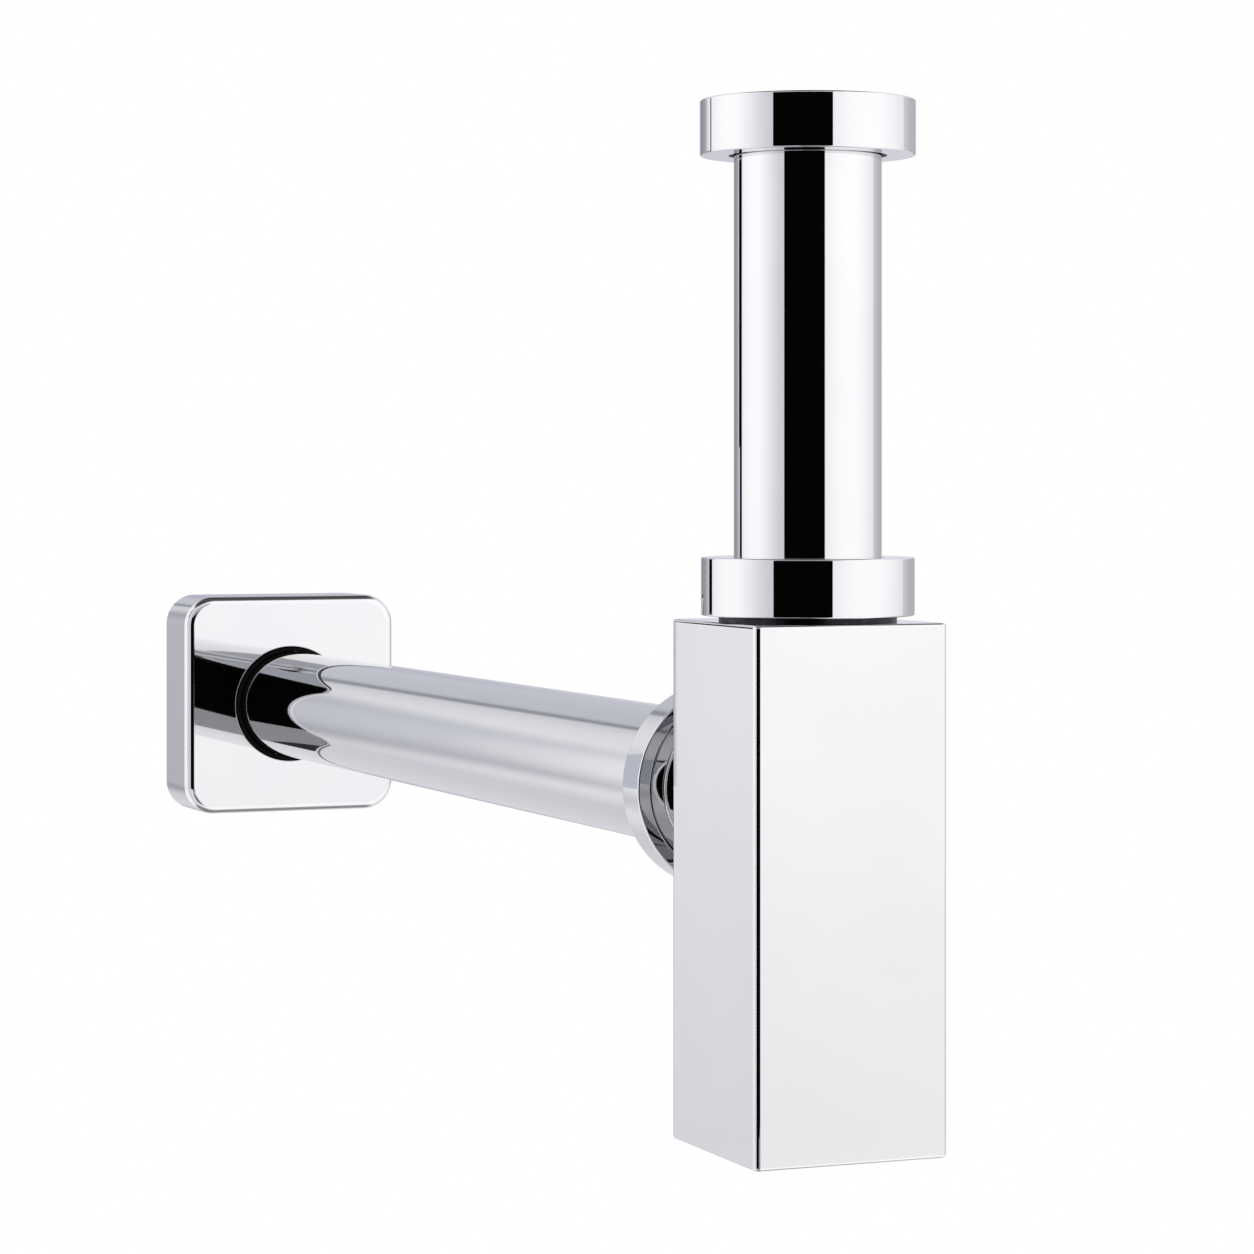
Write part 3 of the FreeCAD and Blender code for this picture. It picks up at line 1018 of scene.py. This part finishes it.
@dataclass
class BodyBase:
    """Base plate with the boss for the clean-out plug, and the plug itself."""

    plate: float = 3.0 * MM
    corner: float = 1.95 * MM
    plate_edge: float = 0.1 * MM
    plate_arc_steps: int = 4
    boss_radius: float = 17.5 * MM
    head_seat: float = 16.0 * MM
    ring_seat: float = 15.36 * MM
    ring_height: float = 1.9 * MM
    thread_radius: float = 13.36 * MM
    thread_gap: float = 0.3 * MM
    head: float = 15.7 * MM
    head_height: float = 2.0 * MM
    bore_wall: float = 2.4 * MM
    slot_width: float = 2.5 * MM
    slot_depth: float = 1.2 * MM
    cutter_overrun: float = 1.0 * MM
    chamfer: float = 0.4 * MM
    fine_thread: Thread = Thread(pitch=1.5 * MM, depth=0.28 * MM)
    grid: SquareGrid = field(default_factory=SquareGrid)

    def build(self, shop: Workshop) -> None:
        """Make the base and the plug, and dress the ring under the plug's head.

        Args:
            shop: Where the pieces are made.
        """
        self._base(shop)
        self._plug(shop)
        shop.keep("cleanout_o_ring", MOULDED_RUBBER)

    def _base(self, shop: Workshop) -> None:
        """The plate and its boss: a square outline outside and circles inside.

        Args:
            shop: Where the piece is made.
        """
        low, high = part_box("body_base")
        plan = self.grid.plan(high.x, self.corner)
        circle = plan.circle()
        plate_top = low.z + self.plate
        head_top = low.z + self.head_height
        ring_top = head_top + self.ring_height
        nut = self.thread_radius + self.thread_gap
        shop.piece("body_base", Surface([
            Corner(high.x, low.z, self.plate_edge, plan),
            Corner(high.x, plate_top, plan=plan),
            Corner(self.boss_radius, plate_top),
            Corner(self.boss_radius, high.z),
            Corner(nut, high.z),
            Corner(nut, ring_top),
            Corner(self.ring_seat, ring_top),
            Corner(self.ring_seat, head_top),
            Corner(self.head_seat, head_top),
            Corner(self.head_seat, low.z),
        ], circle, self.plate_arc_steps).bands(), body="trap_body")

    def _plug(self, shop: Workshop) -> None:
        """The plug, turned with a fine thread.

        Args:
            shop: Where the piece is made.
        """
        low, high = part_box("cleanout_plug")
        head_top = low.z + self.head_height
        bore = self.thread_radius - self.bore_wall
        plug = shop.turned("cleanout_plug", [
            Corner(0.0, low.z),
            Corner(self.head, low.z, self.chamfer),
            Corner(self.head, head_top),
            Corner(self.thread_radius, head_top, thread=self.fine_thread),
            Corner(self.thread_radius, high.z - self.chamfer),
            Corner(self.thread_radius - self.chamfer, high.z),
            Corner(bore, high.z),
            Corner(bore, head_top),
            Corner(0.0, head_top),
        ])
        self._cut_slot(plug, low.z)

    def _cut_slot(self, plug: Object, bottom: float) -> None:
        """Cut the coin slot across the plug's face with a block and apply the cut.

        Args:
            plug: The plug.
            bottom: Height of its face.
        """
        x, y = self.head + self.cutter_overrun, self.slot_width / 2
        corners = [(sx * x, sy * y, z)
                   for z in (bottom - self.cutter_overrun, bottom + self.slot_depth)
                   for sx, sy in ((-1, -1), (1, -1), (1, 1), (-1, 1))]
        block = flat_object("slot_block", corners, [
            (3, 2, 1, 0), (4, 5, 6, 7), (0, 1, 5, 4), (1, 2, 6, 5), (2, 3, 7, 6), (3, 0, 4, 7)])
        cut = plug.modifiers.new("slot", "BOOLEAN")
        cut.object = block
        cut.solver = "EXACT"
        cut.operation = "DIFFERENCE"
        depsgraph = bpy.context.evaluated_depsgraph_get()
        carved = bpy.data.meshes.new_from_object(plug.evaluated_get(depsgraph))
        plug.modifiers.clear()
        plug.data = carved
        bpy.data.objects.remove(block)


@dataclass
class OutletJoint:
    """Threaded neck behind the body, the slim nut on it and the level pipe."""

    neck_radius: float = 16.6 * MM
    shank_radius: float = 16.0 * MM
    fillet: float = 0.6 * MM
    ring_length: float = 3.5 * MM

    def build(self, shop: Workshop) -> None:
        """Make the neck, the nut and the pipe, and dress the washer and the slip ring.

        Args:
            shop: Where the pieces are made.
        """
        neck_low, neck_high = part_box("outlet_neck")
        body_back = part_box("trap_body")[1].y
        ring_front = neck_high.y - self.ring_length
        crest = TUBE.male_thread
        shop.turned("outlet_neck", [
            Corner(self.shank_radius, neck_low.y),
            Corner(self.shank_radius, body_back),
            Corner(self.neck_radius, body_back),
            Corner(self.neck_radius, ring_front, self.fillet),
            Corner(crest - TUBE.chamfer, ring_front),
            Corner(crest, ring_front + TUBE.chamfer, thread=TUBE.thread),
            Corner(crest, neck_high.y - TUBE.chamfer),
            Corner(crest - TUBE.chamfer, neck_high.y),
            Corner(TUBE.bore, neck_high.y),
            Corner(TUBE.bore, neck_low.y),
        ], Lie.LEVEL, "trap_body")
        nut_low, nut_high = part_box("outlet_nut")
        slip_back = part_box("outlet_slip_ring")[1].y
        shop.turned("outlet_nut", TUBE.slip_nut(nut_low.y, neck_high.y, slip_back, nut_high.y,
                                                nut_high.x, TUBE.nut_hole), Lie.LEVEL)
        pipe_low, pipe_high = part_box("outlet_pipe")
        pipe = shop.turned("outlet_pipe", TUBE.flanged_tube(pipe_low.y, pipe_high.y), Lie.LEVEL,
                           arc_steps=TUBE.flange_arc_steps)
        shop.line(pipe, Lie.LEVEL, DRAWN_BRASS, TUBE.bare)
        shop.keep("outlet_washer", MOULDED_RUBBER)
        shop.keep("outlet_slip_ring", MOULDED_NYLON)


@dataclass
class CoverAndRing:
    """Square wall cover pressed from sheet, and the rubber ring in its hole."""

    sheet: float = 1.0 * MM
    corner: float = 9.0 * MM
    edge: float = 2.6 * MM
    hole: float = 17.4 * MM
    lip_length: float = 4.0 * MM
    lip_edge: float = 0.6 * MM
    cover_arc_steps: int = 12
    ring_bore: float = 16.05 * MM
    ring_radius: float = 17.3 * MM
    bead: float = 1.2 * MM
    bead_gap: float = 0.1 * MM
    ring_edge: float = 0.4 * MM
    grid: SquareGrid = field(default_factory=lambda: SquareGrid(side=48, corner=28))

    def build(self, shop: Workshop) -> None:
        """Make the cover and the ring.

        Args:
            shop: Where the pieces are made.
        """
        low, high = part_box("wall_cover")
        half = high.x
        inner_half = half - self.sheet
        outer = self.grid.plan(half, self.corner)
        inner = self.grid.plan(inner_half, self.corner - self.sheet)
        lip = self.hole + self.sheet
        inner_face = low.y + self.sheet
        lip_end = low.y + self.lip_length
        shop.piece("wall_cover", Surface([
            Corner(half, low.y, self.edge, outer),
            Corner(half, high.y, plan=outer),
            Corner(inner_half, high.y, plan=inner),
            Corner(inner_half, inner_face, self.edge - self.sheet, inner),
            Corner(lip, inner_face),
            Corner(lip, lip_end),
            Corner(self.hole, lip_end),
            Corner(self.hole, low.y, self.lip_edge),
        ], outer.circle(), self.cover_arc_steps).bands(), Lie.LEVEL)
        ring_low, ring_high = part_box("cover_ring")
        bead_start = lip_end + self.bead_gap
        shop.turned("cover_ring", [
            Corner(self.ring_radius, ring_low.y, self.ring_edge),
            Corner(self.ring_radius, bead_start),
            Corner(self.ring_radius + self.bead, bead_start),
            Corner(self.ring_radius + self.bead, ring_high.y, self.ring_edge),
            Corner(self.ring_bore, ring_high.y),
            Corner(self.ring_bore, ring_low.y, self.ring_edge),
        ], Lie.LEVEL, finish=MATT_BLACK_RUBBER)


@dataclass(frozen=True)
class PhotoView:
    """The camera: level, long lens, turned to the trap's left front."""

    frame_pixels: float = 1254.0
    focal_pixels: float = 3800.0
    horizon_row: float = 475.6
    turn: float = math.radians(22.2)
    inlet_depth: float = 822 * MM
    inlet_right: float = 39.1 * MM
    above_body: float = 31.4 * MM
    sensor: float = 36.0

    def build(self) -> None:
        """Create the camera and make it the scene's."""
        forward = Vector((math.sin(self.turn), math.cos(self.turn), 0.0))
        right = Vector((math.cos(self.turn), -math.sin(self.turn), 0.0))
        place = -forward * self.inlet_depth - right * self.inlet_right
        place.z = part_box("trap_body")[1].z + self.above_body
        data = bpy.data.cameras.new("camera")
        data.sensor_width = self.sensor
        data.lens = self.sensor * self.focal_pixels / self.frame_pixels
        data.shift_y = (self.horizon_row - self.frame_pixels / 2) / self.frame_pixels
        data.dof.use_dof = False
        camera = linked("camera", data)
        camera.location = place
        camera.rotation_euler = (math.pi / 2, 0.0, -self.turn)
        bpy.context.scene.camera = camera


def bearing_stops(colours: tuple[tuple[float, str], ...]) -> list[tuple[float, tuple]]:
    """Ramp stops, at shares of the turn, of colours given by their bearing in degrees."""
    return [(degrees / 360, linear(colour)) for degrees, colour in colours]


@dataclass(frozen=True)
class LightTent:
    """The studio as the polished metal sees it: white panels in front, left and right, a
    grey backdrop behind with a seam in it, and a roof and a floor that darken overhead.

    Bearings run from +Y over +X, in degrees, and colours are those that the chrome shows.
    The walls give the colours at the level. On the back side, more than the level reach
    above or below it, those of high_back and low_back take over. All are then dimmed by
    elevation.
    """

    gain: float = 1.54
    walls: tuple[tuple[float, str], ...] = (
        (0, "#7e7f86"), (3, "#7b7c83"), (9, "#90919a"), (17, "#a2a3ad"), (26, "#bebec6"),
        (33, "#a8a8b0"), (48, "#a3a4aa"), (64, "#aeafb6"), (80, "#c6c7cb"), (82, "#e2e3e7"),
        (102, "#f4f4f6"), (124, "#fefefe"), (146, "#fefefe"), (161, "#fafafb"),
        (174, "#f1f1f3"), (184, "#e8e9ec"), (240, "#c8cace"), (248, "#cecfd3"),
        (257, "#dadadf"), (266, "#e7e8ec"), (275, "#f2f2f4"), (286, "#fdfdfe"),
        (307, "#fcfcfd"), (320, "#f4f4f6"), (333, "#e6e6e8"), (336.9, "#e2e2e4"),
        (338.2, "#dcdde1"), (339.6, "#c6c7cc"), (341.4, "#bdbec4"), (343.5, "#b6b7bd"),
        (347, "#98989f"), (357, "#8c8c94"),
    )
    high_back: tuple[tuple[float, str], ...] = (
        (0, "#b2b3bb"), (24, "#aeb0b9"), (40, "#c0c1c6"), (60, "#d8d9dc"), (80, "#f4f4f6"),
        (330, "#f4f4f6"), (338, "#dcdde0"), (341, "#d8d9dc"), (345, "#d5d6d9"),
        (351, "#cbccd0"), (355, "#bcbdc2"), (355.9, "#83848a"), (357.7, "#8d8e94"),
        (358.8, "#b0b1ba"),
    )
    low_back: tuple[tuple[float, str], ...] = (
        (0, "#c3c3c8"), (24, "#bfbfc4"), (40, "#c6c6cb"), (60, "#d8d9dc"), (80, "#f4f4f6"),
        (330, "#f4f4f6"), (338, "#dcdce1"), (344, "#d7d7dc"), (350, "#c3c4c9"),
        (358, "#c1c1c6"),
    )
    dimming: tuple[tuple[float, float], ...] = (
        (-90, 0.30), (-66, 0.30), (-55, 0.97), (-24, 0.98), (-15, 0.96), (-12, 0.90),
        (-10, 0.84), (-3, 0.96), (4, 1.0), (47, 1.0), (56, 0.16), (66, 0.07), (90, 0.12),
    )
    level_reach: float = math.radians(8.0)
    blend: float = math.radians(7.0)
    back_cosines: tuple[float, float] = (0.1, 0.4)

    def build(self) -> None:
        """Make the world: white to the camera, the tent to everything else."""
        world = bpy.data.worlds.new("light_tent")
        bpy.context.scene.world = world
        tree = bare_tree(world)
        direction = add_node(tree, "TexCoord").outputs["Generated"]
        split = add_node(tree, "SeparateXYZ", inputs={0: direction})
        bearing = add_node(tree, "Math", {"operation": "ARCTAN2"},
                           {0: split.outputs["X"], 1: split.outputs["Y"]}).outputs[0]
        rise = add_node(tree, "Math", {"operation": "ARCSINE"},
                        {0: split.outputs["Z"]}).outputs[0]
        colour = self._colour(tree, bearing, rise)
        lit = add_node(tree, "Background", inputs={"Color": colour, "Strength": self.gain})
        white = add_node(tree, "Background", inputs={
            "Color": linear("#ffffff"), "Strength": 1.0})
        seen = add_node(tree, "LightPath").outputs["Is Camera Ray"]
        mixed = add_node(tree, "MixShader", inputs={
            0: seen, 1: lit.outputs[0], 2: white.outputs[0]})
        add_node(tree, "OutputWorld", inputs={"Surface": mixed.outputs[0]})

    def _colour(self, tree: NodeTree, bearing: NodeSocket, rise: NodeSocket) -> NodeSocket:
        """The tent's colour in a direction.

        Args:
            tree: The world's node tree.
            bearing: The direction's bearing, in radians.
            rise: Its elevation, in radians.

        Returns:
            The colour.
        """
        wrapped = add_node(tree, "Math", {"operation": "WRAP"}, {0: bearing, 1: TURN, 2: 0.0})
        share = add_node(tree, "Math", {"operation": "DIVIDE"}, {0: wrapped.outputs[0], 1: TURN})
        level, high, low = (
            add_node(tree, "ValToRGB", inputs={"Fac": share.outputs[0]},
                     stops=bearing_stops(colours)).outputs["Color"]
            for colours in (self.walls, self.high_back, self.low_back))
        above = add_node(tree, "Math", {"operation": "GREATER_THAN"}, {0: rise, 1: 0.0})
        back = add_node(tree, "MixRGB", inputs={
            "Fac": above.outputs[0], "Color1": low, "Color2": high})
        tent = add_node(tree, "MixRGB", inputs={
            "Fac": self._off_level(tree, bearing, rise), "Color1": level,
            "Color2": back.outputs[0]})
        height = add_node(tree, "MapRange", inputs={
            "Value": rise, "From Min": -math.pi / 2, "From Max": math.pi / 2})
        dimmed = add_node(tree, "ValToRGB", inputs={"Fac": height.outputs[0]}, stops=[
            ((degrees + 90) / 180, (grey, grey, grey, 1.0)) for degrees, grey in self.dimming])
        return add_node(tree, "MixRGB", {"blend_type": "MULTIPLY"}, {
            "Fac": 1.0, "Color1": tent.outputs[0], "Color2": dimmed.outputs[0]}).outputs[0]

    def _off_level(self, tree: NodeTree, bearing: NodeSocket, rise: NodeSocket) -> NodeSocket:
        """How far a direction is off the level, for the back of the tent only: the step in
        elevation times the step of the bearing's cosine.

        Args:
            tree: The world's node tree.
            bearing: The direction's bearing, in radians.
            rise: Its elevation, in radians.

        Returns:
            A share from 0 to 1.
        """
        height = add_node(tree, "Math", {"operation": "ABSOLUTE"}, {0: rise})
        step = add_node(tree, "MapRange", {"interpolation_type": "SMOOTHSTEP"}, {
            "Value": height.outputs[0], "From Min": self.level_reach,
            "From Max": self.level_reach + self.blend})
        facing = add_node(tree, "Math", {"operation": "COSINE"}, {0: bearing})
        behind = add_node(tree, "MapRange", inputs={
            "Value": facing.outputs[0], "From Min": self.back_cosines[0],
            "From Max": self.back_cosines[1]})
        return add_node(tree, "Math", {"operation": "MULTIPLY"},
                        {0: step.outputs[0], 1: behind.outputs[0]}).outputs[0]


@dataclass(frozen=True)
class StudioCard:
    """An upright card that only polished metal sees, at a distance in metres and a bearing
    in degrees from the inlet's axis and facing it."""

    name: str
    distance: float
    bearing: float
    half_angle: float
    bottom: float
    top: float
    colour: str = "#050505"

    def build(self) -> None:
        """Stand the card in its place."""
        bearing = math.radians(self.bearing)
        centre = np.array([math.sin(bearing), math.cos(bearing)]) * self.distance
        along = np.array([-math.cos(bearing), math.sin(bearing)])
        reach = along * self.distance * math.tan(math.radians(self.half_angle))
        left, right = (centre - reach).tolist(), (centre + reach).tolist()
        card = flat_object(self.name, [
            (*left, self.bottom), (*right, self.bottom), (*right, self.top), (*left, self.top)],
            [(0, 1, 2, 3)])
        material = bpy.data.materials.new(self.name + "_painted_board")
        tree = bare_tree(material)
        shade = add_node(tree, "Emission", inputs={"Color": linear(self.colour), "Strength": 1.0})
        add_node(tree, "OutputMaterial", inputs={"Surface": shade.outputs[0]})
        card.data.materials.append(material)
        card.visible_camera = False
        card.visible_diffuse = False
        card.visible_transmission = False
        card.visible_shadow = False


# A black card round the lens draws the dark stripe down every round piece, with greyer
# cards over and under it. A slim black post beside the wall, in three lengths, draws the
# thin line near the left edges, and a grey board hides its lower end from the outlet nut.
STUDIO_CARDS = (
    StudioCard("lens_card", 0.65, 210.0, 31.35, -0.37, 0.16),
    StudioCard("card_over_lens", 0.67, 204.0, 38.0, 0.16, 0.6, "#ced0d9"),
    StudioCard("card_under_lens", 0.66, 197.0, 17.0, -0.50, -0.33, "#b9b8bd"),
    StudioCard("dark_under_card", 0.66, 197.0, 17.0, -0.60, -0.50, "#403f44"),
    StudioCard("low_card", 0.66, 197.0, 17.0, -0.95, -0.60, "#88888b"),
    StudioCard("wall_post_head", 0.418, 328.3, 1.2, 0.0213, 0.06),
    StudioCard("wall_post", 0.418, 333.1, 5.3, -0.072, 0.0213),
    StudioCard("wall_post_foot", 0.418, 331.4, 3.7, -0.126, -0.072),
    StudioCard("wall_board", 0.4058, 337.05, 1.81, -0.18, -0.072, "#d7dae6"),
)


@dataclass(frozen=True)
class Floor:
    """A plain pale floor well below the hanging trap, and a soft lamp above it."""

    drop: float = 0.52
    half: float = 1.9
    glow: float = 0.72
    lamp_place: tuple[float, float, float] = (-0.3, -0.4, 1.5)
    lamp_aim: tuple[float, float, float] = (0.0, 0.15, 0.0)
    lamp_size: float = 1.2
    lamp_watts: float = 6.0

    def build(self) -> None:
        """Lay the floor and hang the lamp."""
        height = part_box("trap_body")[0].z - self.drop
        floor = flat_object("floor", [
            (x * self.half, y * self.half, height)
            for x, y in ((-1, -1), (1, -1), (1, 1), (-1, 1))], [(0, 1, 2, 3)])
        floor.data.materials.append(self._material())
        floor.visible_diffuse = False
        floor.visible_glossy = False
        light = bpy.data.lights.new("soft_lamp", "AREA")
        light.shape = "DISK"
        light.size = self.lamp_size
        light.energy = self.lamp_watts
        lamp = linked("soft_lamp", light)
        lamp.location = self.lamp_place
        lamp.rotation_euler = (Vector(self.lamp_place) - Vector(self.lamp_aim)).to_track_quat(
            "Z", "Y").to_euler()
        lamp.visible_glossy = False

    def _material(self) -> Material:
        """Matte painted board, lit in part by its own white, so that the trap's shadow on it
        stays faint. From below it is clear, so that the trap's underside can be seen.

        Returns:
            The new material.
        """
        material = bpy.data.materials.new("floor_painted_board")
        tree = bare_tree(material)
        paint = add_node(tree, "BsdfDiffuse", inputs={"Color": linear("#f6f6f6")})
        white = add_node(tree, "Emission", inputs={"Color": linear("#ffffff"), "Strength": 1.0})
        mixed = add_node(tree, "MixShader", inputs={
            0: self.glow, 1: paint.outputs[0], 2: white.outputs[0]})
        under = add_node(tree, "NewGeometry").outputs["Backfacing"]
        clear = add_node(tree, "BsdfTransparent")
        one_sided = add_node(tree, "MixShader", inputs={
            0: under, 1: mixed.outputs[0], 2: clear.outputs[0]})
        add_node(tree, "OutputMaterial", inputs={"Surface": one_sided.outputs[0]})
        return material


def main() -> None:
    """Build the trap's sub-assemblies in order, then the studio."""
    logging.basicConfig(level=logging.INFO, format="%(name)s: %(message)s")
    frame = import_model()
    pipe_low, pipe_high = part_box("outlet_pipe")
    shop = Workshop(frame["nodes"], outlet_height=(pipe_low.z + pipe_high.z) / 2)
    for assembly in (InletJoint(), CollarJoint(), SquareBody(), BodyBase(), OutletJoint(),
                     CoverAndRing()):
        assembly.build(shop)
    log.info("%d pieces: %s", len(shop.made), ", ".join(shop.made))
    for item in (PhotoView(), LightTent(), *STUDIO_CARDS, Floor()):
        item.build()
    bpy.context.scene.view_settings.view_transform = "Standard"


if __name__ == "__main__":
    main()
